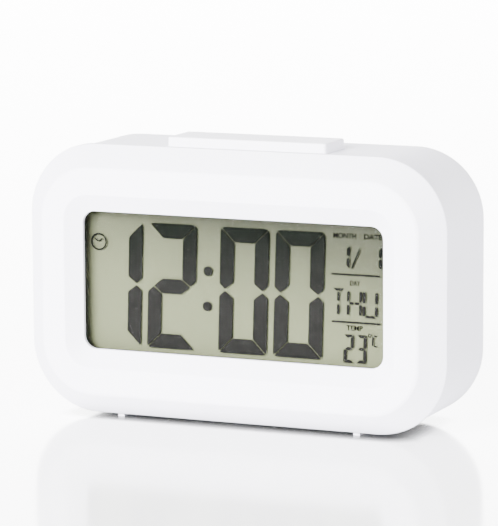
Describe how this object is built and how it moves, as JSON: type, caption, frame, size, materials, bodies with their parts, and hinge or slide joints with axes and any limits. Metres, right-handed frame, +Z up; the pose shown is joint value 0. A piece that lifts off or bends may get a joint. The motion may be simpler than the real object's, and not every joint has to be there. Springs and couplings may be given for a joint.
{
  "type": "dementia day clock",
  "caption": "White battery desk clock with a large liquid crystal display, a snooze bar on top, and buttons and a battery door on the back.",
  "frame": {"origin": "on the table under the middle of the whole clock", "axes": "+X to the viewer's right, +Y from the display to the back, +Z up"},
  "size_m": [0.135, 0.0444, 0.086],
  "materials": {
    "case_plastic": "satin",
    "bar_plastic": "satin",
    "key_plastic": "satin",
    "dark_plastic": "satin",
    "window_plastic": "gloss",
    "lcd_glass": "gloss",
    "polariser_film": "satin",
    "reflector_film": "satin",
    "segment_ink": "satin",
    "clear_plastic": "gloss",
    "contact_rubber": "matte",
    "board_laminate": "satin",
    "plated_steel": "satin",
    "sleeve": "gloss",
    "chip_ceramic": "matte",
    "cell_sleeve": "gloss",
    "red_wire": "satin",
    "black_wire": "satin",
    "grey_wire": "satin"
  },
  "bodies": {
    "case": {"front_bezel": "case_plastic", "rear_case": "case_plastic", "display_window": "window_plastic", "lcd_frame": "dark_plastic", "front_polariser": "polariser_film", "lcd_front_glass": "lcd_glass", "lcd_rear_glass": "lcd_glass", "lcd_reflector": "reflector_film", "light_guide": "clear_plastic", "contact_strip": "contact_rubber", "backlight_leds": "clear_plastic", "lcd_segments": "segment_ink", "main_board": "board_laminate", "clock_chip": "dark_plastic", "crystal": "plated_steel", "capacitor": "sleeve", "chip_resistors": "chip_ceramic", "temperature_sensor": "chip_ceramic", "case_screws": "plated_steel", "board_screws": "plated_steel", "key_board_screws": "plated_steel", "snooze_board_screws": "plated_steel", "key_board": "board_laminate", "button_switches": "dark_plastic", "slide_switch": "dark_plastic", "snooze_board": "board_laminate", "snooze_switch": "dark_plastic", "lower_cell": "cell_sleeve", "middle_cell": "cell_sleeve", "upper_cell": "cell_sleeve", "battery_springs": "plated_steel", "contact_plates": "plated_steel", "buzzer": "dark_plastic", "positive_lead": "red_wire", "negative_lead": "black_wire", "buzzer_leads": "grey_wire", "snooze_leads": "grey_wire", "key_ribbon": "grey_wire"},
    "mode_key": {"mode_button": "key_plastic", "mode_plunger": "dark_plastic"},
    "set_key": {"set_button": "key_plastic", "set_plunger": "dark_plastic"},
    "up_key": {"up_button": "key_plastic", "up_plunger": "dark_plastic"},
    "down_key": {"down_button": "key_plastic", "down_plunger": "dark_plastic"},
    "snooze": {"snooze_bar": "bar_plastic", "snooze_plunger": "dark_plastic"},
    "slider": {"alarm_slider": "dark_plastic"},
    "door": {"battery_door": "case_plastic"}
  },
  "joints": [
    {"name": "snooze_press", "type": "slide", "parent": "case", "child": "snooze", "axis": [0, 0, -1], "range_m": [0, 0.0012], "stiffness_N_per_m": 900, "springref_m": -0.0006},
    {"name": "mode_press", "type": "slide", "parent": "case", "child": "mode_key", "axis": [0, -1, 0], "range_m": [0, 0.0006], "stiffness_N_per_m": 900, "springref_m": -0.0004},
    {"name": "set_press", "type": "slide", "parent": "case", "child": "set_key", "axis": [0, -1, 0], "range_m": [0, 0.0006], "stiffness_N_per_m": 900, "springref_m": -0.0004},
    {"name": "up_press", "type": "slide", "parent": "case", "child": "up_key", "axis": [0, -1, 0], "range_m": [0, 0.0006], "stiffness_N_per_m": 900, "springref_m": -0.0004},
    {"name": "down_press", "type": "slide", "parent": "case", "child": "down_key", "axis": [0, -1, 0], "range_m": [0, 0.0006], "stiffness_N_per_m": 900, "springref_m": -0.0004},
    {"name": "alarm_slide", "type": "slide", "parent": "case", "child": "slider", "axis": [1, 0, 0], "range_m": [0, 0.002]},
    {"name": "battery_door_hinge", "type": "hinge", "parent": "case", "child": "door", "pos_m": [0, 0.0214, 0.0096], "axis": [-1, 0, 0], "range_deg": [0, 90]}
  ]
}
